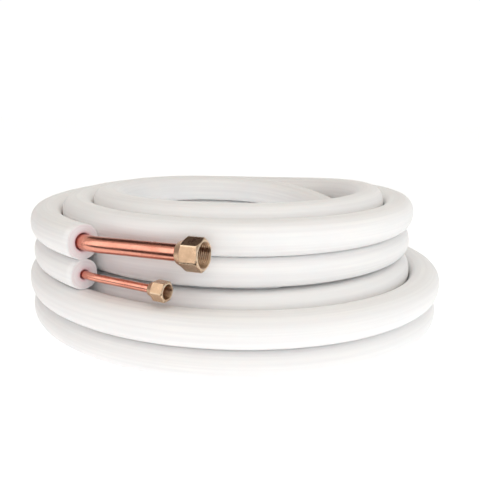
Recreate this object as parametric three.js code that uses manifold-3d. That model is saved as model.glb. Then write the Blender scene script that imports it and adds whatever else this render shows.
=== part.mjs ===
// Mini split line set: a large and a small copper pipe, each in its own white foam jacket,
// the two jackets bonded one above the other and wound together into a two-layer coil.
// A brass flare nut turns loosely on each of the four pipe ends, behind the pipe's flare.
// Millimetres, +Z up. The origin is at the centre of the base of the bounding box.

import * as THREE from 'three';
import { mergeVertices } from 'three/addons/utils/BufferGeometryUtils.js';
import Module from 'manifold-3d';

const wasm = await Module();
wasm.setup();

// Pipes: half inch and quarter inch copper
const largePipeDiameter = 12.7;
const smallPipeDiameter = 6.35;
const pipeWall = 0.8;

// Foam jackets, the large one above the small one
const largeJacketDiameter = 28;
const smallJacketDiameter = 24;
const foamToPipe = 0.3;
const foamToFoam = 0.3;

// Coil, wound from the front end at the top down to the rear end at the floor
const coilTurns = 5.33;
const upperRadius = 180.4;
const lowerRadius = 178;
const upperSideShift = -3.5;
const lowerSideShift = 7;
const frontAzimuth = 233.8;
const firstLeft = 0.15;
const spreadStart = 2.65;
const spreadEnd = 3.15;
const onFloorAt = 4.65;

// How far each quarter turn lies above the tightest stack, from the front of the coil
// before the front end, then at its left, back, right, front and so on
const upperLifts = [0, 0, 2.2, 10.3, 8.9, 6.9, 5.8, 17.5, 16.5, 12.6, 8.1];
const descentShares = [0.33, 0.86];
const lowerLifts = [9.6, 4.8, 9.6, 7, 4.8, 0.5, 0, 0, 0, 0];

// Free pipe ends: bare length to the nut, and the bend just outside the foam
const largeBareLength = 88.5;
const smallBareLength = 66.5;
const bendLength = 20;
const largeFrontTurn = 15.6;
const largeFrontRise = 2;
const smallFrontTurn = 11.6;
const smallFrontRise = 0;

// Flares at the pipe ends
const flareRise = 1.85;
const smallFlareRise = 1.3;

// Large flare nut
const largeNutFlats = 22.2;
const largeNutLength = 20.5;
const largeShoulderDiameter = 16.4;
const largeShoulderLength = 5.5;
const largeSocketDiameter = 17.5;
const largeSeatDepth = 12.4;
const largeNutTurn = 19;

// Small flare nut
const smallNutFlats = 14.3;
const smallNutLength = 15.5;
const smallShoulderDiameter = 9.8;
const smallShoulderLength = 4.5;
const smallSocketDiameter = 10.4;
const smallSeatDepth = 8.9;

// Running clearance between a nut and its pipe, and the bevel of the nut's corners
const nutToPipe = 0.3;
const rimBevel = 0.7;

// Faceting
const segmentsPerTurn = 18;
const jacketSides = 12;
const largePipeSides = 8;
const smallPipeSides = 6;
const nutSides = 18;

const up = new THREE.Vector3(0, 0, 1);
const radians = THREE.MathUtils.degToRad;

const foam = new THREE.MeshStandardMaterial({ color: 0xe9e5e9, roughness: 0.75, metalness: 0 });
const copper = new THREE.MeshStandardMaterial({ color: 0xb96a4a, roughness: 0.28, metalness: 1 });
const brass = new THREE.MeshStandardMaterial({ color: 0xa68c5a, roughness: 0.35, metalness: 1 });

// The coil's centre line

const jacketSpacing = (largeJacketDiameter + smallJacketDiameter) / 2 + foamToFoam;
const turnPitch = Math.max(largeJacketDiameter, smallJacketDiameter) + foamToFoam;
const floorHeight = smallJacketDiameter / 2 + jacketSpacing;
const layerHeight = largeJacketDiameter + smallJacketDiameter + 2 * foamToFoam;

// Heights of the large jacket's centre at every quarter turn, front before the start first
const upperHeights = upperLifts.map((lift) => floorHeight + layerHeight + lift);
const lowerHeights = lowerLifts.map((lift) => floorHeight + lift);
const descentHeights = descentShares.map((share) => (
  THREE.MathUtils.lerp(upperHeights[upperHeights.length - 1], lowerHeights[0], share)
));
const quarterHeights = [...upperHeights, ...descentHeights, ...lowerHeights];

// Slope that never overshoots: level at a crest, a dip or a flat stretch
function evenSlope(before, after) {
  return before * after > 0 ? (2 * before * after) / (before + after) : 0;
}

function centreHeight(turn) {
  const quarter = 4 * (turn - firstLeft) + 1;
  const index = THREE.MathUtils.clamp(Math.floor(quarter), 0, quarterHeights.length - 2);
  const heightOf = (i) => (
    quarterHeights[THREE.MathUtils.clamp(i, 0, quarterHeights.length - 1)]
  );
  const rises = [-1, 0, 1].map((step) => heightOf(index + step + 1) - heightOf(index + step));
  const startSlope = evenSlope(rises[0], rises[1]);
  const endSlope = evenSlope(rises[1], rises[2]);
  const x = quarter - index;
  const away = 1 - x;
  return away * away * (heightOf(index) * (1 + 2 * x) + startSlope * x)
    + x * x * (heightOf(index + 1) * (1 + 2 * away) - endSlope * away);
}

// Two flat spirals, the upper one wound inwards and the lower one outwards
function centrePoint(turn) {
  const outwards = THREE.MathUtils.smoothstep(turn, spreadStart, spreadEnd);
  const upperSpiral = upperRadius - turnPitch * turn;
  const lowerSpiral = lowerRadius + turnPitch * (turn - onFloorAt);
  const radius = THREE.MathUtils.lerp(upperSpiral, lowerSpiral, outwards);
  const sideShift = THREE.MathUtils.lerp(upperSideShift, lowerSideShift, outwards);
  const azimuth = radians(frontAzimuth - 360 * turn);
  return new THREE.Vector3(
    sideShift + radius * Math.cos(azimuth),
    radius * Math.sin(azimuth),
    centreHeight(turn),
  );
}

// A station is a point on a pipe's centre line with the direction of the pipe there.
function coilStation(turn) {
  const step = 1e-4;
  const tangent = centrePoint(turn + step).sub(centrePoint(turn - step)).normalize();
  return { point: centrePoint(turn), tangent };
}

// Across is level, and over is as near to upright as the pipe's slope allows.
function stationFrame(tangent) {
  const across = up.clone().cross(tangent).normalize();
  const over = tangent.clone().cross(across);
  return { across, over };
}

const coilSteps = Math.round(coilTurns * segmentsPerTurn);
const largeCoil = [];
for (let i = 0; i <= coilSteps; i++) {
  largeCoil.push(coilStation(i / segmentsPerTurn));
}

const smallCoil = largeCoil.map(({ point, tangent }) => {
  const { over } = stationFrame(tangent);
  return { point: point.clone().addScaledVector(over, -jacketSpacing), tangent };
});

// Bodies swept along stations

class StationPath extends THREE.Curve {
  constructor(stations) {
    super();
    this.stations = stations;
  }

  getPoint(u, target = new THREE.Vector3()) {
    const index = Math.round(u * (this.stations.length - 1));
    return target.copy(this.stations[index].point);
  }

  getUtoTmapping(u) {
    return u;
  }

  computeFrenetFrames() {
    const tangents = this.stations.map((station) => station.tangent);
    const frames = tangents.map((tangent) => stationFrame(tangent));
    const normals = frames.map((frame) => frame.across);
    const binormals = frames.map((frame) => frame.over);
    return { tangents, normals, binormals };
  }
}

function regularPolygon(sides, cornerRadius, firstCorner = 0) {
  const corners = [];
  for (let i = 0; i < sides; i++) {
    const angle = firstCorner + (2 * Math.PI * i) / sides;
    corners.push(new THREE.Vector2(cornerRadius * Math.cos(angle), cornerRadius * Math.sin(angle)));
  }
  return corners;
}

// Corner radius of a polygon whose flats touch a circle of this radius
function aroundCircle(radius, sides) {
  return radius / Math.cos(Math.PI / sides);
}

function tidyGeometry(geometry) {
  geometry.deleteAttribute('normal');
  geometry.deleteAttribute('uv');
  return mergeVertices(geometry);
}

function sweep(section, bore, stations) {
  const shape = new THREE.Shape(section);
  shape.holes.push(new THREE.Path(bore));
  const geometry = new THREE.ExtrudeGeometry(shape, {
    steps: stations.length - 1,
    extrudePath: new StationPath(stations),
    bevelEnabled: false,
  });
  return tidyGeometry(geometry);
}

// Foam jackets: flats at the top, bottom and both sides, so neighbours lie flat to flat

function makeJacket(jacketDiameter, pipeDiameter, pipeSides, stations) {
  const cornerRadius = aroundCircle(jacketDiameter / 2, jacketSides);
  const section = regularPolygon(jacketSides, cornerRadius, Math.PI / jacketSides);
  const boreRadius = pipeDiameter / 2 + aroundCircle(foamToPipe, pipeSides);
  return sweep(section, regularPolygon(pipeSides, boreRadius), stations);
}

// Free pipe ends

// Stations from the foam's cut face to the flare's lip, going outwards
function freeEnd(face, outwards, end) {
  const bendSteps = 2;
  const startHeading = Math.atan2(outwards.y, outwards.x);
  const startRise = Math.asin(outwards.z);
  const directionAt = (share) => {
    const heading = startHeading + share * radians(end.turn);
    const rise = THREE.MathUtils.lerp(startRise, radians(end.rise), share);
    return new THREE.Vector3(
      Math.cos(rise) * Math.cos(heading),
      Math.cos(rise) * Math.sin(heading),
      Math.sin(rise),
    );
  };
  const point = face.clone();
  const stations = [];
  for (let i = 1; i <= bendSteps; i++) {
    point.addScaledVector(directionAt((i - 0.5) / bendSteps), bendLength / bendSteps);
    stations.push({ point: point.clone(), tangent: directionAt(i / bendSteps) });
  }
  const axis = directionAt(1);
  const nutBack = point.clone().addScaledVector(axis, end.bareLength - bendLength);
  const seat = end.nut.length - end.nut.seatDepth;
  const flareStart = nutBack.clone().addScaledVector(axis, seat + nutToPipe);
  const lip = flareStart.clone().addScaledVector(axis, end.nut.flareRise);
  stations.push({ point: flareStart, tangent: axis });
  stations.push({ point: lip, tangent: axis });
  return { stations, axis, nutBack, lip };
}

// Spreads the ring of points on a pipe's end face into a 45 degree flare.
function flareOut(geometry, end, rise) {
  const positions = geometry.getAttribute('position');
  const onFace = 1e-3;
  const offset = new THREE.Vector3();
  for (let i = 0; i < positions.count; i++) {
    offset.fromBufferAttribute(positions, i).sub(end.lip);
    const nearEnd = offset.length() < largePipeDiameter + smallPipeDiameter;
    if (nearEnd && Math.abs(offset.dot(end.axis)) < onFace) {
      offset.setLength(offset.length() + rise).add(end.lip);
      positions.setXYZ(i, offset.x, offset.y, offset.z);
    }
  }
}

function makePipe(pipeDiameter, pipeSides, coil, frontEnd, rearEnd, nut) {
  const front = frontEnd.stations
    .map(({ point, tangent }) => ({ point, tangent: tangent.clone().negate() }))
    .reverse();
  const stations = [...front, ...coil, ...rearEnd.stations];
  const section = regularPolygon(pipeSides, pipeDiameter / 2);
  const bore = regularPolygon(pipeSides, pipeDiameter / 2 - pipeWall);
  const geometry = sweep(section, bore, stations);
  flareOut(geometry, frontEnd, nut.flareRise);
  flareOut(geometry, rearEnd, nut.flareRise);
  return geometry;
}

// Flare nuts: a hexagon with a tapered shoulder, bored for the pipe, with a 45 degree
// seat for the flare and a wide socket at the mouth. The local axis is +Z, mouth up.

function toSolid(geometry) {
  const tidy = tidyGeometry(geometry);
  const index = tidy.index.array;
  const triangles = [];
  for (let i = 0; i < index.length; i += 3) {
    const [a, b, c] = [index[i], index[i + 1], index[i + 2]];
    if (a !== b && b !== c && c !== a) {
      triangles.push(a, b, c);
    }
  }
  return new wasm.Manifold(new wasm.Mesh({
    numProp: 3,
    vertProperties: new Float32Array(tidy.getAttribute('position').array),
    triVerts: new Uint32Array(triangles),
  }));
}

function toGeometry(solid) {
  const mesh = solid.getMesh();
  const geometry = new THREE.BufferGeometry();
  geometry.setAttribute('position', new THREE.BufferAttribute(mesh.vertProperties, 3));
  geometry.setIndex(new THREE.BufferAttribute(mesh.triVerts, 1));
  return geometry;
}

// Profile corners are [radius, height] pairs from the axis at the bottom to the axis at the top.
function turned(profile) {
  const points = profile.map(([radius, height]) => new THREE.Vector2(radius, height));
  return toSolid(new THREE.LatheGeometry(points, nutSides).rotateX(Math.PI / 2));
}

function makeNut(nut) {
  const cornerRadius = nut.acrossFlats / Math.sqrt(3);
  const hexagon = new THREE.Shape(regularPolygon(6, cornerRadius, nut.firstCorner));
  const prism = toSolid(new THREE.ExtrudeGeometry(hexagon, {
    depth: nut.length,
    bevelEnabled: false,
  }));
  const outerRadius = aroundCircle(cornerRadius, nutSides);
  const shoulderRadius = nut.shoulderDiameter / 2;
  const collarRadius = nut.acrossFlats / 2 - rimBevel;
  const envelope = turned([
    [0, 0],
    [shoulderRadius, 0],
    [collarRadius, nut.shoulderLength],
    [outerRadius, nut.shoulderLength + (outerRadius - collarRadius) / 2],
    [outerRadius, nut.length - (outerRadius - collarRadius) / 2],
    [collarRadius, nut.length],
    [0, nut.length],
  ]);
  const overrun = 1;
  const holeRadius = aroundCircle(nut.pipeDiameter / 2 + nutToPipe, nutSides);
  const socketRadius = aroundCircle(nut.socketDiameter / 2, nutSides);
  const seat = nut.length - nut.seatDepth;
  const bore = turned([
    [0, -overrun],
    [holeRadius, -overrun],
    [holeRadius, seat],
    [socketRadius, seat + socketRadius - holeRadius],
    [socketRadius, nut.length + overrun],
    [0, nut.length + overrun],
  ]);
  return toGeometry(prism.intersect(envelope).subtract(bore));
}

const largeNut = {
  pipeDiameter: largePipeDiameter,
  acrossFlats: largeNutFlats,
  length: largeNutLength,
  shoulderDiameter: largeShoulderDiameter,
  shoulderLength: largeShoulderLength,
  socketDiameter: largeSocketDiameter,
  seatDepth: largeSeatDepth,
  flareRise,
  firstCorner: radians(largeNutTurn),
};

const smallNut = {
  pipeDiameter: smallPipeDiameter,
  acrossFlats: smallNutFlats,
  length: smallNutLength,
  shoulderDiameter: smallShoulderDiameter,
  shoulderLength: smallShoulderLength,
  socketDiameter: smallSocketDiameter,
  seatDepth: smallSeatDepth,
  flareRise: smallFlareRise,
  firstCorner: 0,
};

// Assembly

const assembly = new THREE.Group();

function addPiece(name, geometry, material) {
  const mesh = new THREE.Mesh(geometry, material);
  mesh.name = name;
  assembly.add(mesh);
  return mesh;
}

function addNut(name, nut, end) {
  const { across, over } = stationFrame(end.axis);
  const mesh = addPiece(name, makeNut(nut), brass);
  const basis = new THREE.Matrix4().makeBasis(across, over, end.axis);
  mesh.quaternion.setFromRotationMatrix(basis);
  mesh.position.copy(end.nutBack);
}

function endsOf(coil, nut, bareLength, frontTurn, frontRise) {
  const first = coil[0];
  const last = coil[coil.length - 1];
  const frontBend = { nut, bareLength, turn: frontTurn, rise: frontRise };
  const rearBend = { nut, bareLength, turn: 0, rise: 0 };
  return {
    front: freeEnd(first.point, first.tangent.clone().negate(), frontBend),
    rear: freeEnd(last.point, last.tangent, rearBend),
  };
}

const largeEnds = endsOf(largeCoil, largeNut, largeBareLength, largeFrontTurn, largeFrontRise);
const smallEnds = endsOf(smallCoil, smallNut, smallBareLength, smallFrontTurn, smallFrontRise);

addPiece(
  'large_jacket',
  makeJacket(largeJacketDiameter, largePipeDiameter, largePipeSides, largeCoil),
  foam,
);
addPiece(
  'small_jacket',
  makeJacket(smallJacketDiameter, smallPipeDiameter, smallPipeSides, smallCoil),
  foam,
);
addPiece(
  'large_pipe',
  makePipe(largePipeDiameter, largePipeSides, largeCoil, largeEnds.front, largeEnds.rear, largeNut),
  copper,
);
addPiece(
  'small_pipe',
  makePipe(smallPipeDiameter, smallPipeSides, smallCoil, smallEnds.front, smallEnds.rear, smallNut),
  copper,
);
addNut('large_front_nut', largeNut, largeEnds.front);
addNut('small_front_nut', smallNut, smallEnds.front);
addNut('large_rear_nut', largeNut, largeEnds.rear);
addNut('small_rear_nut', smallNut, smallEnds.rear);

// The origin goes to the centre of the base.
assembly.updateMatrixWorld(true);
const bounds = new THREE.Box3().setFromObject(assembly, true);
const centre = bounds.getCenter(new THREE.Vector3());
assembly.position.set(-centre.x, -centre.y, -bounds.min.z);

const lineSet = new THREE.Group();
lineSet.add(assembly);

export default lineSet;
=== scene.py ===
import math

import bpy
from mathutils import Matrix, Vector, noise


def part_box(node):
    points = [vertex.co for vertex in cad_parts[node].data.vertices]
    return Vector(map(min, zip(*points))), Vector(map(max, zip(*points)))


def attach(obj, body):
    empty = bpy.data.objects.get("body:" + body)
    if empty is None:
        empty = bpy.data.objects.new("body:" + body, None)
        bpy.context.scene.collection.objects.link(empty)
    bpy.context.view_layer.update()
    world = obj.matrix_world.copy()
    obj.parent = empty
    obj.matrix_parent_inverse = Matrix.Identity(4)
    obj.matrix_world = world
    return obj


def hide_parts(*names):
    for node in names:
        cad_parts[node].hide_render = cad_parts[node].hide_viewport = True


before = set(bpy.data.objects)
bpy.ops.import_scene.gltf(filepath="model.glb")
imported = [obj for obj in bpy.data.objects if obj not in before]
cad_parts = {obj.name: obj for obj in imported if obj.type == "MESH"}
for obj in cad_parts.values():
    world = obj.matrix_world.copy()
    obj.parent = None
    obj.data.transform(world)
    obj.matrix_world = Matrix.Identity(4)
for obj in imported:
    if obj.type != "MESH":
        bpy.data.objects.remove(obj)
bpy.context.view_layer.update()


# The route of the wound line set. Two jacketed pipes, bonded one above the other, start
# at the front of the top layer, run inwards for about two and a half turns, drop down
# inside the coil and run outwards again along the floor.

LARGE_FOAM = 0.028
SMALL_FOAM = 0.024
FOAM_GAP = 0.0003
COIL_STEPS_IN_CAD = 96
CAD_STEPS_PER_TURN = 18
CAD_JACKET_SIDES = 12
COIL_TURNS = COIL_STEPS_IN_CAD / CAD_STEPS_PER_TURN
UPPER_RADIUS = 0.1804
LOWER_RADIUS = 0.178
UPPER_SIDE_SHIFT = -0.0035
LOWER_SIDE_SHIFT = 0.007
FRONT_AZIMUTH = 233.8
FIRST_LEFT = 0.15
SPREAD_START = 2.65
SPREAD_END = 3.15
ON_FLOOR_AT = 4.65
UPPER_LIFTS = (0, 0, 0.0022, 0.0103, 0.0089, 0.0069, 0.0058, 0.0175, 0.0165, 0.0126, 0.0081)
DESCENT_SHARES = (0.33, 0.86)
LOWER_LIFTS = (0.0096, 0.0048, 0.0096, 0.007, 0.0048, 0.0005, 0, 0, 0, 0)

spacing = (LARGE_FOAM + SMALL_FOAM) / 2 + FOAM_GAP
turn_pitch = LARGE_FOAM + FOAM_GAP
floor_height = SMALL_FOAM / 2 + spacing
layer_height = LARGE_FOAM + SMALL_FOAM + 2 * FOAM_GAP


def clamp(value, low=0.0, high=1.0):
    return max(low, min(high, value))


def lerp(a, b, share):
    return a + (b - a) * share


def smooth_ramp(value, start, end):
    x = clamp((value - start) / (end - start))
    return x * x * (3 - 2 * x)


upper_heights = [floor_height + layer_height + lift for lift in UPPER_LIFTS]
lower_heights = [floor_height + lift for lift in LOWER_LIFTS]
descent_heights = [lerp(upper_heights[-1], lower_heights[0], share) for share in DESCENT_SHARES]
quarter_heights = upper_heights + descent_heights + lower_heights


def even_slope(before, after):
    return 2 * before * after / (before + after) if before * after > 0 else 0.0


def centre_height(turn):
    """Height of the large jacket's centre, smooth through the heights at the quarter turns."""
    last = len(quarter_heights) - 1
    quarter = 4 * (turn - FIRST_LEFT) + 1
    index = int(clamp(math.floor(quarter), 0, last - 1))
    near = [quarter_heights[int(clamp(index + step, 0, last))] for step in (-1, 0, 1, 2)]
    rises = [b - a for a, b in zip(near, near[1:])]
    start_slope = even_slope(rises[0], rises[1])
    end_slope = even_slope(rises[1], rises[2])
    x = quarter - index
    away = 1 - x
    return (away * away * (near[1] * (1 + 2 * x) + start_slope * x)
            + x * x * (near[2] * (1 + 2 * away) - end_slope * away))


def centre_point(turn):
    outwards = smooth_ramp(turn, SPREAD_START, SPREAD_END)
    upper_spiral = UPPER_RADIUS - turn_pitch * turn
    lower_spiral = LOWER_RADIUS + turn_pitch * (turn - ON_FLOOR_AT)
    radius = lerp(upper_spiral, lower_spiral, outwards)
    side_shift = lerp(UPPER_SIDE_SHIFT, LOWER_SIDE_SHIFT, outwards)
    azimuth = math.radians(FRONT_AZIMUTH - 360 * turn)
    return Vector((side_shift + radius * math.cos(azimuth),
                   radius * math.sin(azimuth),
                   centre_height(turn)))


def coil_tangent(turn):
    step = 1e-4
    return (centre_point(turn + step) - centre_point(turn - step)).normalized()


def section_frame(tangent):
    across = Vector((0, 0, 1)).cross(tangent).normalized()
    over = tangent.cross(across)
    return across, over


def frame_shift():
    """How far the CAD frame is moved from the coil's own axis, from the large jacket's box."""
    corner = LARGE_FOAM / 2 / math.cos(math.pi / CAD_JACKET_SIDES)
    low = Vector((1, 1, 1))
    for i in range(COIL_STEPS_IN_CAD + 1):
        turn = i / CAD_STEPS_PER_TURN
        point = centre_point(turn)
        across, over = section_frame(coil_tangent(turn))
        for k in range(CAD_JACKET_SIDES):
            angle = math.pi * (2 * k + 1) / CAD_JACKET_SIDES
            offset = corner * (math.cos(angle) * across + math.sin(angle) * over)
            low = Vector(map(min, low, point + offset))
    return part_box("large_jacket")[0] - low


shift = frame_shift()


# The foam jackets. Each is an extruded tube of white polyethylene foam with a smooth
# skin, slid over its pipe; the two are heat bonded along one line, and the coil's own
# weight presses each turn a little flat against the next.

JACKET_STEPS_PER_TURN = 150
JACKET_SIDES = 44
BORE_RING_EVERY = 5
SQUARENESS = 2.35
BOND_HALF_ANGLE = 0.24
BOND_FADE_ANGLE = 0.22
BOND_FILLET_ANGLE = 1.2
BOND_FILLET_ROOM = 1.02
BOND_CLEARANCE = 0.00004
SKIN_SWELL = 0.00022
SKIN_SINK = 0.5
SWELL_SHARE = 0.9
SWELL_ALONG = 9
SWELL_ROUND = 0.7
RIPPLE_SHARE = 0.35
RIPPLE_ALONG = 42
RIPPLE_ROUND = 1.4
CUT_SHARES = (0.975, 0.93, 0.86, 0.74, 0.6, 0.42, 0.25, 0.1)
CUT_UNEVENNESS = 0.00018
CUT_NOISE_STEP = 5
LARGE_PIPE = 0.0127
SMALL_PIPE = 0.00635
BORE_CLEARANCE = 0.0009
SKIN_FINISH = 0
CUT_FINISH = 1


class Route:
    """Points of a jacket or pipe's centre line, with their section frames and lengths."""

    def __init__(self, points, tangents):
        self.points = points
        self.frames = [section_frame(t) for t in tangents]
        self.lengths = [0.0]
        for a, b in zip(points, points[1:]):
            self.lengths.append(self.lengths[-1] + (b - a).length)


def coil_points(steps_per_turn, drop):
    steps = round(COIL_TURNS * steps_per_turn)
    points, tangents = [], []
    for i in range(steps + 1):
        turn = COIL_TURNS * i / steps
        tangent = coil_tangent(turn)
        over = section_frame(tangent)[1]
        points.append(centre_point(turn) + shift - drop * over)
        tangents.append(tangent)
    return points, tangents


def ring(route, index, radius_at, sides, push=0.0):
    """One ring of the section at a route point, with the texture place of each corner."""
    across, over = route.frames[index]
    along = over.cross(across).normalized()
    corners, places = [], []
    for k in range(sides):
        angle = 2 * math.pi * k / sides
        x = math.cos(angle)
        y = math.sin(angle)
        radius = radius_at(angle)
        corners.append(route.points[index] + radius * (x * across + y * over) + push * along)
        places.append((route.lengths[index], radius * x, radius * y))
    return corners, places


def loop_mesh(name, rings, finishes, edges=None):
    """A closed tube wall from rings in order: outside, end, bore, other end, and round again.
    finishes gives the material index of the band between each ring and the next, and edges
    how rubbed each corner is."""
    sides = len(rings[0][0])
    points = [p for corners, _ in rings for p in corners]
    places = [p for _, marks in rings for p in marks]
    faces, indices = [], []
    for r in range(len(rings)):
        s = (r + 1) % len(rings)
        for k in range(sides):
            n = (k + 1) % sides
            faces.append((r * sides + k, r * sides + n, s * sides + n, s * sides + k))
            indices.append(finishes[r])
    mesh = bpy.data.meshes.new(name)
    mesh.from_pydata([tuple(p) for p in points], [], faces)
    place = mesh.attributes.new("place", "FLOAT_VECTOR", "POINT")
    place.data.foreach_set("vector", [c for p in places for c in p])
    if edges:
        edge = mesh.attributes.new("edge", "FLOAT", "POINT")
        edge.data.foreach_set("value", edges)
    mesh.polygons.foreach_set("material_index", indices)
    mesh.polygons.foreach_set("use_smooth", [True] * len(faces))
    mesh.update()
    piece = bpy.data.objects.new(name, mesh)
    bpy.context.scene.collection.objects.link(piece)
    return piece


def jacket_radius(foam, bond_side, seed):
    """The section of a jacket: round, eased flat where it is pressed, flat along the bond."""
    half = foam / 2
    bond_reach = half + FOAM_GAP / 2 - BOND_CLEARANCE

    def radius(angle, length):
        x = math.cos(angle)
        y = math.sin(angle)
        pressed = half * (abs(x) ** SQUARENESS + abs(y) ** SQUARENESS) ** (-1 / SQUARENESS)
        swell = noise.noise(Vector((length * SWELL_ALONG, x * SWELL_ROUND, y * SWELL_ROUND + seed)))
        ripple = noise.noise(Vector((length * RIPPLE_ALONG, x * RIPPLE_ROUND + seed, y * RIPPLE_ROUND)))
        pressed -= SKIN_SWELL * (SKIN_SINK + SWELL_SHARE * swell + RIPPLE_SHARE * ripple)
        from_bond = abs(math.remainder(angle - bond_side, 2 * math.pi))
        if from_bond < BOND_HALF_ANGLE:
            return max(pressed, bond_reach / math.cos(from_bond))
        fade = clamp((from_bond - BOND_HALF_ANGLE) / BOND_FADE_ANGLE)
        fillet = bond_reach / math.cos(min(from_bond, BOND_FILLET_ANGLE))
        return lerp(min(fillet, pressed * BOND_FILLET_ROOM), pressed, fade * fade * (3 - 2 * fade))

    return radius


def make_jacket(name, foam, pipe, drop, bond_side, seed):
    points, tangents = coil_points(JACKET_STEPS_PER_TURN, drop)
    route = Route(points, tangents)
    section = jacket_radius(foam, bond_side, seed)
    last = len(points) - 1
    bore = pipe / 2 + BORE_CLEARANCE
    rings, finishes = [], []

    def add(index, radius_at, finish, push=0.0):
        rings.append(ring(route, index, radius_at, JACKET_SIDES, push))
        finishes.append(finish)

    def end_face(index, outward):
        for share in CUT_SHARES:
            def radius_at(angle, share=share):
                return bore + share * (section(angle, route.lengths[index]) - bore)
            uneven = CUT_UNEVENNESS * noise.noise(Vector((share * CUT_NOISE_STEP, seed, index)))
            add(index, radius_at, CUT_FINISH, uneven * outward)

    for index in range(last + 1):
        add(index, lambda angle: section(angle, route.lengths[index]), SKIN_FINISH)
    finishes[-1] = CUT_FINISH
    end_face(last, 1)
    for index in range(last, -1, -1):
        if index % BORE_RING_EVERY == 0 or index in (last, last - 1, 1):
            add(index, lambda angle: bore, CUT_FINISH)
    front = len(rings)
    end_face(0, -1)
    rings[front:] = rings[front:][::-1]
    piece = loop_mesh(name, rings, finishes)
    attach(piece, "coil")
    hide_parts(name)
    return piece


def new_material(name, colour, roughness, metallic=0.0):
    material = bpy.data.materials.new(name)
    material.use_nodes = True
    nodes = material.node_tree.nodes
    shader = nodes["Principled BSDF"]
    shader.inputs["Base Color"].default_value = (*colour, 1)
    shader.inputs["Roughness"].default_value = roughness
    shader.inputs["Metallic"].default_value = metallic
    return material, nodes, material.node_tree.links, shader


def new_group(name, inputs, outputs):
    """A shader node group; inputs are (name, kind, default) and outputs are (name, kind)."""
    group = bpy.data.node_groups.new(name, "ShaderNodeTree")
    for label, kind, default in inputs:
        socket = group.interface.new_socket(label, in_out="INPUT", socket_type=kind)
        if default is not None:
            socket.default_value = default
    for label, kind in outputs:
        group.interface.new_socket(label, in_out="OUTPUT", socket_type=kind)
    return group, group.nodes.new("NodeGroupInput"), group.nodes.new("NodeGroupOutput")


def drawn_lines_group():
    """Fine lines along a piece, as a die or a lathe leaves them: noise stretched one way."""
    group, given, made = new_group(
        "drawn lines",
        [("Place", "NodeSocketVector", None),
         ("Along", "NodeSocketFloat", 4.0),
         ("Across", "NodeSocketFloat", 900.0),
         ("Low", "NodeSocketFloat", 0.35),
         ("High", "NodeSocketFloat", 0.65)],
        [("Lines", "NodeSocketFloat")])
    nodes, links = group.nodes, group.links
    scale = nodes.new("ShaderNodeCombineXYZ")
    links.new(given.outputs["Along"], scale.inputs["X"])
    links.new(given.outputs["Across"], scale.inputs["Y"])
    links.new(given.outputs["Across"], scale.inputs["Z"])
    stretch = nodes.new("ShaderNodeVectorMath")
    stretch.operation = "MULTIPLY"
    links.new(given.outputs["Place"], stretch.inputs[0])
    links.new(scale.outputs["Vector"], stretch.inputs[1])
    grain = nodes.new("ShaderNodeTexNoise")
    grain.inputs["Scale"].default_value = 1.0
    grain.inputs["Detail"].default_value = 2.0
    links.new(stretch.outputs["Vector"], grain.inputs["Vector"])
    spread = nodes.new("ShaderNodeMapRange")
    links.new(grain.outputs["Fac"], spread.inputs["Value"])
    links.new(given.outputs["Low"], spread.inputs["From Min"])
    links.new(given.outputs["High"], spread.inputs["From Max"])
    links.new(spread.outputs["Result"], made.inputs["Lines"])
    return group


def mottle_group():
    """Soft patches over a piece: handling marks, haze and tarnish."""
    group, given, made = new_group(
        "mottle",
        [("Place", "NodeSocketVector", None),
         ("Size", "NodeSocketFloat", 30.0),
         ("Low", "NodeSocketFloat", 0.3),
         ("High", "NodeSocketFloat", 0.7)],
        [("Patches", "NodeSocketFloat")])
    nodes, links = group.nodes, group.links
    patches = nodes.new("ShaderNodeTexNoise")
    patches.inputs["Detail"].default_value = 4.0
    patches.inputs["Roughness"].default_value = 0.55
    links.new(given.outputs["Place"], patches.inputs["Vector"])
    links.new(given.outputs["Size"], patches.inputs["Scale"])
    spread = nodes.new("ShaderNodeMapRange")
    links.new(patches.outputs["Fac"], spread.inputs["Value"])
    links.new(given.outputs["Low"], spread.inputs["From Min"])
    links.new(given.outputs["High"], spread.inputs["From Max"])
    links.new(spread.outputs["Result"], made.inputs["Patches"])
    return group


drawn_lines = drawn_lines_group()
mottle = mottle_group()


def place_node(nodes):
    place = nodes.new("ShaderNodeAttribute")
    place.attribute_name = "place"
    return place.outputs["Vector"]


def use_group(nodes, links, group, vector, **values):
    placed = nodes.new("ShaderNodeGroup")
    placed.node_tree = group
    links.new(vector, placed.inputs["Place"])
    for label, value in values.items():
        placed.inputs[label].default_value = value
    return placed.outputs[0]


def blend_colours(nodes, links, share, low, high):
    mix = nodes.new("ShaderNodeMix")
    mix.data_type = "RGBA"
    links.new(share, mix.inputs["Factor"])
    for socket, colour in (("A", low), ("B", high)):
        target = [s for s in mix.inputs if s.name == socket and s.type == "RGBA"][0]
        if isinstance(colour, tuple):
            target.default_value = (*colour, 1)
        else:
            links.new(colour, target)
    return [s for s in mix.outputs if s.type == "RGBA"][0]


def spread_value(nodes, links, value, low, high):
    spread = nodes.new("ShaderNodeMapRange")
    links.new(value, spread.inputs["Value"])
    spread.inputs["To Min"].default_value = low
    spread.inputs["To Max"].default_value = high
    return spread.outputs["Result"]


def add_bump(nodes, links, height, strength, distance, under=None):
    bump = nodes.new("ShaderNodeBump")
    bump.inputs["Strength"].default_value = strength
    bump.inputs["Distance"].default_value = distance
    links.new(height, bump.inputs["Height"])
    if under is not None:
        links.new(under, bump.inputs["Normal"])
    return bump.outputs["Normal"]


FOAM_WHITE = (0.92, 0.91, 0.895)
FOAM_HANDLED = (0.885, 0.88, 0.885)
FOAM_STREAK = (0.86, 0.85, 0.85)
CELL_SHADE = (0.82, 0.78, 0.79)


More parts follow.
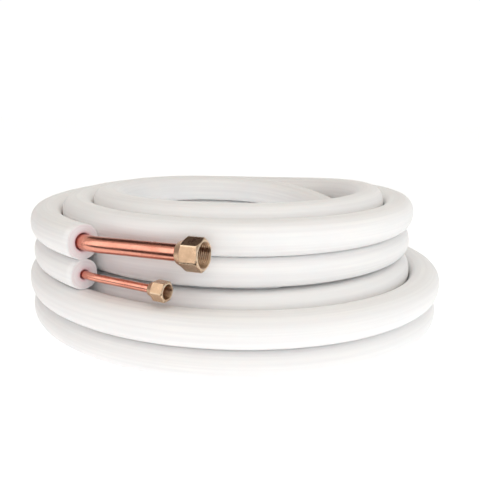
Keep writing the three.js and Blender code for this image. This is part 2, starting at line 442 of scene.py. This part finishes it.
def foam_skin():
    material, nodes, links, shader = new_material("foam skin", (0.88, 0.87, 0.86), 0.55)
    place = place_node(nodes)
    streaks = use_group(nodes, links, drawn_lines, place, Along=5.0, Across=420.0)
    patches = use_group(nodes, links, mottle, place, Size=26.0)
    pores = use_group(nodes, links, mottle, place, Size=2600.0, Low=0.4, High=0.62)
    white = blend_colours(nodes, links, patches, FOAM_WHITE, FOAM_HANDLED)
    lined = blend_colours(nodes, links, streaks, FOAM_STREAK, white)
    links.new(lined, shader.inputs["Base Color"])
    links.new(spread_value(nodes, links, patches, 0.42, 0.58), shader.inputs["Roughness"])
    fine = add_bump(nodes, links, pores, 0.12, 0.0001)
    soft = add_bump(nodes, links, streaks, 0.18, 0.0002, fine)
    links.new(soft, shader.inputs["Normal"])
    shader.inputs["Subsurface Weight"].default_value = 0.25
    shader.inputs["Subsurface Radius"].default_value = (1.0, 0.75, 0.7)
    shader.inputs["Subsurface Scale"].default_value = 0.004
    return material


# Colours across the cut face, from the bore out to the skin. The dark crimson and pink next to the bore
# are painted shade in the gap round the pipe and painted copper-red reflected light fading outwards;
# the darker band near the outside is the denser skin.
CUT_BANDS_WITH_PAINTED_BORE_SHADE = (
    (0.0, (0.62, 0.10, 0.16)),
    (0.07, (0.84, 0.42, 0.48)),
    (0.30, (0.89, 0.74, 0.77)),
    (0.62, (0.90, 0.85, 0.86)),
    (0.80, (0.84, 0.75, 0.78)),
    (0.90, (0.92, 0.89, 0.90)),
    (1.0, (0.93, 0.92, 0.92)),
)


def foam_cut(foam, pipe):
    """The sliced end: open cells, painted shade and painted copper-red reflected light round the bore,
    with a denser outer skin.
    """
    material, nodes, links, shader = new_material("foam cut", (0.88, 0.84, 0.85), 0.8)
    place = place_node(nodes)
    cells = nodes.new("ShaderNodeTexVoronoi")
    cells.inputs["Scale"].default_value = 1500.0
    links.new(place, cells.inputs["Vector"])
    split = nodes.new("ShaderNodeSeparateXYZ")
    links.new(place, split.inputs["Vector"])
    flat = nodes.new("ShaderNodeCombineXYZ")
    links.new(split.outputs["Y"], flat.inputs["X"])
    links.new(split.outputs["Z"], flat.inputs["Y"])
    radius = nodes.new("ShaderNodeVectorMath")
    radius.operation = "LENGTH"
    links.new(flat.outputs["Vector"], radius.inputs[0])
    across_wall = nodes.new("ShaderNodeMapRange")
    across_wall.inputs["From Min"].default_value = pipe / 2 + BORE_CLEARANCE
    across_wall.inputs["From Max"].default_value = foam / 2
    links.new(radius.outputs["Value"], across_wall.inputs["Value"])
    # This ramp paints shade and copper-red reflected light round the bore.
    bands = nodes.new("ShaderNodeValToRGB")
    links.new(across_wall.outputs["Result"], bands.inputs["Fac"])
    stops = bands.color_ramp.elements
    stops.remove(stops[1])
    for i, (position, colour) in enumerate(CUT_BANDS_WITH_PAINTED_BORE_SHADE):
        stop = stops[0] if i == 0 else stops.new(position)
        stop.position = position
        stop.color = (*colour, 1)
    depth = cells.outputs["Distance"]
    celled = blend_colours(nodes, links, depth, bands.outputs["Color"], CELL_SHADE)
    links.new(celled, shader.inputs["Base Color"])
    links.new(add_bump(nodes, links, depth, 0.5, 0.0003), shader.inputs["Normal"])
    shader.inputs["Subsurface Weight"].default_value = 0.3
    shader.inputs["Subsurface Radius"].default_value = (1.0, 0.6, 0.55)
    shader.inputs["Subsurface Scale"].default_value = 0.003
    return material


skin = foam_skin()
for name, foam, pipe, drop, bond_side, seed in (
        ("large_jacket", LARGE_FOAM, LARGE_PIPE, 0.0, 1.5 * math.pi, 3.1),
        ("small_jacket", SMALL_FOAM, SMALL_PIPE, spacing, 0.5 * math.pi, 7.7)):
    jacket = make_jacket(name, foam, pipe, drop, bond_side, seed)
    jacket.data.materials.append(skin)
    jacket.data.materials.append(foam_cut(foam, pipe))


# The copper pipes. Each is one length of soft drawn copper, slid through its jacket
# before winding; where it leaves the foam it bends a little towards the front, runs
# straight, and ends in a 45 degree flare pressed with a flaring tool.

PIPE_WALL = 0.0008
PIPE_LIP = 0.0002
PIPE_SIDES = 36
PIPE_STEPS_PER_TURN = 60
INNER_RING_EVERY = 4
END_RINGS = 20
BEND_LENGTH = 0.020
BEND_STEPS = 10
STRAIGHT_SHARES = (0.25, 0.5, 0.75, 0.97, 1.0)
FLARE_SHARES = (0.2, 0.4, 0.6, 0.8, 0.95, 1.0)
FLARE_GROWTH = (0.12, 0.33, 0.55, 0.78, 0.93, 0.93)
NUT_CLEARANCE = 0.0003

LARGE_END = {"bare": 0.0885, "nut_length": 0.0205, "seat_depth": 0.0124, "flare": 0.00185}
SMALL_END = {"bare": 0.0665, "nut_length": 0.0155, "seat_depth": 0.0089, "flare": 0.0013}
LARGE_FRONT_BEND = (15.6, 2.0)
SMALL_FRONT_BEND = (11.6, 0.0)
REAR_BEND = (0.0, 0.0)


def free_end(face, outwards, end, bend):
    """Points and tangents from the foam's cut face to the flare's lip, then the axis of the
    straight end and the middle of its nut's back face."""
    turn, rise = (math.radians(angle) for angle in bend)
    start_heading = math.atan2(outwards.y, outwards.x)
    start_rise = math.asin(outwards.z)

    def direction(share):
        heading = start_heading + share * turn
        lift = lerp(start_rise, rise, share)
        return Vector((math.cos(lift) * math.cos(heading),
                       math.cos(lift) * math.sin(heading),
                       math.sin(lift)))

    point = face.copy()
    points, tangents = [], []
    for i in range(1, BEND_STEPS + 1):
        point = point + direction((i - 0.5) / BEND_STEPS) * (BEND_LENGTH / BEND_STEPS)
        points.append(point)
        tangents.append(direction(i / BEND_STEPS))
    axis = direction(1)
    nut_back = point + (end["bare"] - BEND_LENGTH) * axis
    straight = end["bare"] - BEND_LENGTH + end["nut_length"] - end["seat_depth"] + NUT_CLEARANCE
    for share in STRAIGHT_SHARES:
        points.append(point + share * straight * axis)
        tangents.append(axis)
    for share in FLARE_SHARES:
        points.append(point + (straight + share * end["flare"]) * axis)
        tangents.append(axis)
    return points, tangents, axis, nut_back


def make_pipe(name, diameter, drop, end, front_bend):
    coil, coil_tangents = coil_points(PIPE_STEPS_PER_TURN, drop)
    front_points, front_tangents, *front = free_end(coil[0], -coil_tangents[0], end, front_bend)
    rear_points, rear_tangents, *rear = free_end(coil[-1], coil_tangents[-1], end, REAR_BEND)
    points = front_points[::-1] + coil + rear_points
    tangents = [-t for t in front_tangents[::-1]] + coil_tangents + rear_tangents
    route = Route(points, tangents)
    count = len(points)
    spread = [0.0] * count
    for i, growth in enumerate(reversed(FLARE_GROWTH)):
        spread[i] = growth * end["flare"]
        spread[count - 1 - i] = growth * end["flare"]
    outer = diameter / 2
    inner = outer - PIPE_WALL
    middle = outer - PIPE_WALL / 2
    rings = []

    def add(index, radius, push=0.0):
        size = radius + spread[index]
        rings.append(ring(route, index, lambda angle: size, PIPE_SIDES, push))

    for index in range(count):
        add(index, outer)
    add(count - 1, middle, PIPE_LIP)
    for index in range(count - 1, -1, -1):
        if index % INNER_RING_EVERY == 0 or index < END_RINGS or index > count - END_RINGS:
            add(index, inner)
    add(0, middle, -PIPE_LIP)
    piece = loop_mesh(name, rings, [0] * len(rings))
    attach(piece, "coil")
    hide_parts(name)
    return piece, front, rear


COPPER_BRIGHT = (0.84, 0.40, 0.30)
COPPER_TARNISHED = (0.70, 0.27, 0.19)
COPPER_HAZE = (0.66, 0.27, 0.20)


def copper():
    material, nodes, links, shader = new_material("drawn copper", (0.80, 0.33, 0.22), 0.2, 1.0)
    place = place_node(nodes)
    lines = use_group(nodes, links, drawn_lines, place, Along=16.0, Across=2600.0)
    tarnish = use_group(nodes, links, mottle, place, Size=55.0)
    haze = use_group(nodes, links, mottle, place, Size=240.0, Low=0.42, High=0.75)
    bright = blend_colours(nodes, links, tarnish, COPPER_BRIGHT, COPPER_TARNISHED)
    hazed = blend_colours(nodes, links, haze, bright, COPPER_HAZE)
    links.new(hazed, shader.inputs["Base Color"])
    links.new(spread_value(nodes, links, tarnish, 0.16, 0.30), shader.inputs["Roughness"])
    links.new(add_bump(nodes, links, lines, 0.12, 0.00006), shader.inputs["Normal"])
    return material


copper_finish = copper()
large_pipe, large_front, large_rear = make_pipe(
    "large_pipe", LARGE_PIPE, 0.0, LARGE_END, LARGE_FRONT_BEND)
small_pipe, small_front, small_rear = make_pipe(
    "small_pipe", SMALL_PIPE, spacing, SMALL_END, SMALL_FRONT_BEND)
for pipe_piece in (large_pipe, small_pipe):
    pipe_piece.data.materials.append(copper_finish)


# The flare nuts. Each is turned from hexagon brass bar: a tapered shoulder behind,
# chamfered corners, an internal thread in front and a 45 degree seat that traps the
# pipe's flare, so the nut spins on the pipe but can't come off.

NUT_SIDES = 144
NUT_STEP = 0.00028
CORNER_SHARPNESS = 60
RIM_BEVEL = 0.0007
CHAMFER_SLOPE = 2
WIDEST_SHARE = 0.65
EDGE_ROUNDING = 0.0004
RIM_EASE = 0.0003
CORNER_WEAR_FROM = 1.11
CORNER_WEAR_WIDTH = 0.03
CHAMFER_WEAR_WIDTH = 0.0004
THREAD_LEAD = 0.0006
THREAD_RELIEF = 0.0001
THREAD_STEPS_PER_PITCH = 9
THREAD_FILL = 0.9
TOOTH_STEEPNESS = 1.25
TOOTH_FLAT = 0.1
LARGE_NUT = {
    "flats": 0.0222, "length": LARGE_END["nut_length"], "seat_depth": LARGE_END["seat_depth"],
    "shoulder": 0.0164, "shoulder_length": 0.0055, "pipe": LARGE_PIPE, "socket": 0.0175,
    "thread": 0.01905, "pitch": 0.0015875, "first_flat": math.radians(-11),
}
SMALL_NUT = {
    "flats": 0.0143, "length": SMALL_END["nut_length"], "seat_depth": SMALL_END["seat_depth"],
    "shoulder": 0.0098, "shoulder_length": 0.0045, "pipe": SMALL_PIPE, "socket": 0.0104,
    "thread": 0.0111, "pitch": 0.00127, "first_flat": math.pi / 6,
}


def hexagon_radius(nut, angle):
    total = 0.0
    for flat in range(6):
        facing = math.cos(angle - nut["first_flat"] - flat * math.pi / 3)
        if facing > 0:
            total += facing ** CORNER_SHARPNESS
    return nut["flats"] / 2 * total ** (-1 / CORNER_SHARPNESS)


def nut_envelope(nut, height):
    """Radius of the turned outline at a height above the nut's back face."""
    collar = nut["flats"] / 2 - RIM_BEVEL
    shoulder = nut["shoulder"] / 2
    widest = WIDEST_SHARE * nut["flats"]
    if height < nut["shoulder_length"]:
        return lerp(shoulder, collar, height / nut["shoulder_length"])
    behind = collar + CHAMFER_SLOPE * (height - nut["shoulder_length"])
    before = collar + CHAMFER_SLOPE * (nut["length"] - height)
    return min(widest, behind, before)


def make_nut(name, nut, axis, back):
    across, over = section_frame(axis)
    bore = nut["pipe"] / 2 + NUT_CLEARANCE
    socket = nut["socket"] / 2
    mouth = nut["thread"] / 2
    front = nut["length"]
    seat = front - nut["seat_depth"]
    seat_top = seat + socket - bore
    rings, edges = [], []

    def add(height, radius_at, edge_at=None, wear=0.0):
        corners, places = [], []
        for k in range(NUT_SIDES):
            angle = 2 * math.pi * k / NUT_SIDES
            radius = radius_at(angle)
            spot = radius * (math.cos(angle) * across + math.sin(angle) * over)
            corners.append(back + height * axis + spot)
            places.append((height, radius * math.cos(angle), radius * math.sin(angle)))
            edges.append(edge_at(angle) if edge_at else wear)
        rings.append((corners, places))

    def outline(height, inset=0.0):
        envelope = nut_envelope(nut, height)

        def radius_at(angle):
            flat = hexagon_radius(nut, angle)
            both = (flat / envelope) ** -CORNER_SHARPNESS + 1
            return envelope * both ** (-1 / CORNER_SHARPNESS) - inset

        return radius_at

    def edge_wear(height):
        envelope = nut_envelope(nut, height)

        def edge_at(angle):
            flat = hexagon_radius(nut, angle)
            corner = clamp((flat / (nut["flats"] / 2) - CORNER_WEAR_FROM) / CORNER_WEAR_WIDTH)
            crossing = clamp(1 - abs(flat - envelope) / CHAMFER_WEAR_WIDTH)
            return max(corner if envelope > flat else 0.0, crossing)

        return edge_at

    add(0.0, lambda angle: bore + RIM_EASE)
    add(0.0, outline(0.0, EDGE_ROUNDING))
    add(EDGE_ROUNDING * 0.35, outline(0.0, EDGE_ROUNDING * 0.3))
    steps = round(front / NUT_STEP)
    for i in range(2, steps - 1):
        height = front * i / steps
        add(height, outline(height), edge_wear(height))
    add(front - EDGE_ROUNDING * 0.3, outline(front, EDGE_ROUNDING * 0.1), wear=1.0)
    add(front, outline(front, EDGE_ROUNDING), wear=0.6)
    add(front, lambda angle: mouth + RIM_EASE, wear=0.6)
    add(front - RIM_EASE, lambda angle: mouth, wear=0.4)
    thread_depth = mouth - socket
    thread_top = front - THREAD_LEAD
    thread_foot = seat_top + THREAD_RELIEF
    thread_steps = round((thread_top - seat_top) / nut["pitch"] * THREAD_STEPS_PER_PITCH)
    for i in range(thread_steps + 1):
        height = lerp(thread_top, thread_foot, i / thread_steps)
        run_out = clamp((height - seat_top) / nut["pitch"])

        def thread_at(angle):
            phase = (height / nut["pitch"] - angle / (2 * math.pi)) % 1.0
            tooth = clamp(TOOTH_STEEPNESS * (1 - abs(2 * phase - 1)) - TOOTH_FLAT)
            return socket + thread_depth * THREAD_FILL * tooth * run_out

        add(height, thread_at)
    add(seat_top, lambda angle: socket)
    add(seat, lambda angle: bore)
    piece = loop_mesh(name, rings, [0] * len(rings), edges)
    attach(piece, name)
    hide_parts(name)
    return piece


BRASS_CLEAN = (0.63, 0.43, 0.285)
BRASS_SCUFFED = (0.52, 0.35, 0.225)
BRASS_RUBBED = (0.86, 0.68, 0.49)


def brass():
    material, nodes, links, shader = new_material("turned brass", (0.58, 0.40, 0.26), 0.3, 1.0)
    place = place_node(nodes)
    turning = use_group(nodes, links, drawn_lines, place, Along=5200.0, Across=60.0)
    scuffs = use_group(nodes, links, mottle, place, Size=190.0)
    edge = nodes.new("ShaderNodeAttribute")
    edge.attribute_name = "edge"
    body = blend_colours(nodes, links, scuffs, BRASS_CLEAN, BRASS_SCUFFED)
    rubbed = blend_colours(nodes, links, edge.outputs["Fac"], body, BRASS_RUBBED)
    links.new(rubbed, shader.inputs["Base Color"])
    links.new(spread_value(nodes, links, scuffs, 0.22, 0.38), shader.inputs["Roughness"])
    links.new(add_bump(nodes, links, turning, 0.15, 0.00006), shader.inputs["Normal"])
    return material


brass_finish = brass()
for name, nut, (axis, back) in (
        ("large_front_nut", LARGE_NUT, large_front),
        ("small_front_nut", SMALL_NUT, small_front),
        ("large_rear_nut", LARGE_NUT, large_rear),
        ("small_rear_nut", SMALL_NUT, small_rear)):
    nut_piece = make_nut(name, nut, axis, back)
    nut_piece.data.materials.append(brass_finish)


# The floor: a plain white light table that the coil lies on, lit a little from inside
# so that the object's shadow stays faint and the surface runs out to white.

FLOOR_HALF = 6.0
FLOOR_GLOW = 0.44
FLOOR_WHITE = (0.93, 0.93, 0.93)
FLOOR_LIGHT = (0.94, 0.97, 1.0)

floor_mesh = bpy.data.meshes.new("floor")
floor_mesh.from_pydata(
    [(-FLOOR_HALF, -FLOOR_HALF, 0), (FLOOR_HALF, -FLOOR_HALF, 0),
     (FLOOR_HALF, FLOOR_HALF, 0), (-FLOOR_HALF, FLOOR_HALF, 0)],
    [], [(0, 1, 2, 3)])
floor = bpy.data.objects.new("floor", floor_mesh)
bpy.context.scene.collection.objects.link(floor)
floor_finish, _, _, floor_shader = new_material("floor", FLOOR_WHITE, 0.9)
floor_shader.inputs["Specular IOR Level"].default_value = 0.0
floor_shader.inputs["Emission Color"].default_value = (*FLOOR_LIGHT, 1)
floor_shader.inputs["Emission Strength"].default_value = FLOOR_GLOW
floor_mesh.materials.append(floor_finish)


# The light: a white backdrop, a warmer ceiling, a dim pinkish left and a cooler right, one
# soft box in front and one overhead. A dark card low in front, one overhead and a bright
# panel at the front left show in reflections only, and draw the bands on the bare metal.

LEFT_SIDE = (0.28, 0.23, 0.27)
RIGHT_SIDE = (0.64, 0.69, 0.76)
CEILING = (0.64, 0.61, 0.56)
BACKDROP = (1.04, 1.04, 1.04)
FRONT_POWER = 4.4
TOP_POWER = 3.6
PANEL_GLOW = 0.8
PANEL_LIGHT = (1.0, 0.98, 0.95)
PANEL_GREY = (0.8, 0.8, 0.8)
PANEL_CORNERS = ((-1.1, -0.35, 0.1), (-0.2, -1.2, 0.1), (-1.0, -0.3, 1.0), (-0.2, -1.05, 1.0))
CARD_DARK = (0.03, 0.012, 0.01)
LOW_CARD_SIDES = (-0.95, 0.3)
LOW_CARD_BENDS = ((-0.224, 0.058), (-0.238, 0.03), (-0.29, 0.002), (-1.2, 0.002))
HIGH_CARD_SIDES = (-0.8, 0.8)
HIGH_CARD_ENDS = (-0.04, 1.3)
HIGH_CARD_HEIGHT = 0.9

world = bpy.data.worlds.new("studio")
world.use_nodes = True
bpy.context.scene.world = world
world_nodes, world_links = world.node_tree.nodes, world.node_tree.links
direction = world_nodes.new("ShaderNodeTexCoord")
direction_parts = world_nodes.new("ShaderNodeSeparateXYZ")
world_links.new(direction.outputs["Generated"], direction_parts.inputs["Vector"])


def world_share(axis, start, end):
    share = world_nodes.new("ShaderNodeMapRange")
    share.interpolation_type = "SMOOTHSTEP"
    share.inputs["From Min"].default_value = start
    share.inputs["From Max"].default_value = end
    world_links.new(direction_parts.outputs[axis], share.inputs["Value"])
    return share.outputs["Result"]


left_to_right = world_share("X", start=-0.8, end=0.5)
low_to_high = world_share("Z", start=0.05, end=0.6)
front_to_back = world_share("Y", start=0.6, end=0.84)
walls = blend_colours(world_nodes, world_links, left_to_right, LEFT_SIDE, RIGHT_SIDE)
room = blend_colours(world_nodes, world_links, low_to_high, walls, CEILING)
studio = blend_colours(world_nodes, world_links, front_to_back, room, BACKDROP)
world_links.new(studio, world_nodes["Background"].inputs["Color"])


def soft_box(name, place, aim, size, power, colour):
    data = bpy.data.lights.new(name, "AREA")
    data.shape = "RECTANGLE"
    data.size, data.size_y = size
    data.energy = power
    data.color = colour
    light = bpy.data.objects.new(name, data)
    light.location = place
    facing = (Vector(aim) - Vector(place)).to_track_quat("-Z", "Y")
    light.rotation_euler = facing.to_euler()
    bpy.context.scene.collection.objects.link(light)
    return light


front_light = soft_box("front_light", place=(0.45, -1.5, 0.5), aim=(0.0, 0.0, 0.06),
                       size=(1.5, 0.8), power=FRONT_POWER, colour=(0.93, 0.97, 1.0))
front_light.visible_glossy = False
soft_box("top_light", place=(0.1, -0.7, 1.3), aim=(0.0, -0.1, 0.1),
         size=(1.2, 0.7), power=TOP_POWER, colour=(1.0, 0.965, 0.90))


def reflected_card(name, corners, colour, glow=0.0):
    """A strip of flat cards through pairs of corners, seen in reflections and nowhere else."""
    mesh = bpy.data.meshes.new(name)
    strips = len(corners) // 2 - 1
    mesh.from_pydata(corners, [], [(2 * i, 2 * i + 1, 2 * i + 3, 2 * i + 2) for i in range(strips)])
    material, _, _, shader = new_material(name, colour, 1.0)
    shader.inputs["Emission Color"].default_value = (*PANEL_LIGHT, 1)
    shader.inputs["Emission Strength"].default_value = glow
    mesh.materials.append(material)
    card = bpy.data.objects.new(name, mesh)
    bpy.context.scene.collection.objects.link(card)
    card.visible_camera = False
    card.visible_diffuse = False
    card.visible_shadow = False
    card.visible_transmission = False


low_corners = [(x, y, z) for y, z in LOW_CARD_BENDS for x in LOW_CARD_SIDES]
high_corners = [(x, y, HIGH_CARD_HEIGHT) for y in HIGH_CARD_ENDS for x in HIGH_CARD_SIDES]
reflected_card("low_card", low_corners, CARD_DARK)
reflected_card("high_card", high_corners, CARD_DARK)
reflected_card("panel", PANEL_CORNERS, PANEL_GREY, PANEL_GLOW)


# The camera stands in front of the coil, a little to its right and above its top, and
# looks slightly down on it.

CAMERA_PLACE = Vector((0.03421, -0.59164, 0.19861))
FOCAL_PIXELS = 597.96
IMAGE_PIXELS = 480
PITCH = math.radians(12.91)
YAW = math.radians(-2.83)
ROLL = math.radians(1.11)

level = Vector((math.sin(YAW), math.cos(YAW), 0))
side = Vector((math.cos(YAW), -math.sin(YAW), 0))
forward = math.cos(PITCH) * level - math.sin(PITCH) * Vector((0, 0, 1))
upward = math.sin(PITCH) * level + math.cos(PITCH) * Vector((0, 0, 1))
right = math.cos(ROLL) * side + math.sin(ROLL) * upward
top = math.cos(ROLL) * upward - math.sin(ROLL) * side
camera_data = bpy.data.cameras.new("camera")
camera_data.sensor_width = 36
camera_data.lens = camera_data.sensor_width * FOCAL_PIXELS / IMAGE_PIXELS
camera_data.clip_start = 0.01
camera = bpy.data.objects.new("camera", camera_data)
rotation = Matrix((right, top, -forward)).transposed().to_4x4()
camera.matrix_world = Matrix.Translation(CAMERA_PLACE + shift) @ rotation
bpy.context.scene.collection.objects.link(camera)
bpy.context.scene.camera = camera
bpy.context.scene.view_settings.view_transform = "Standard"
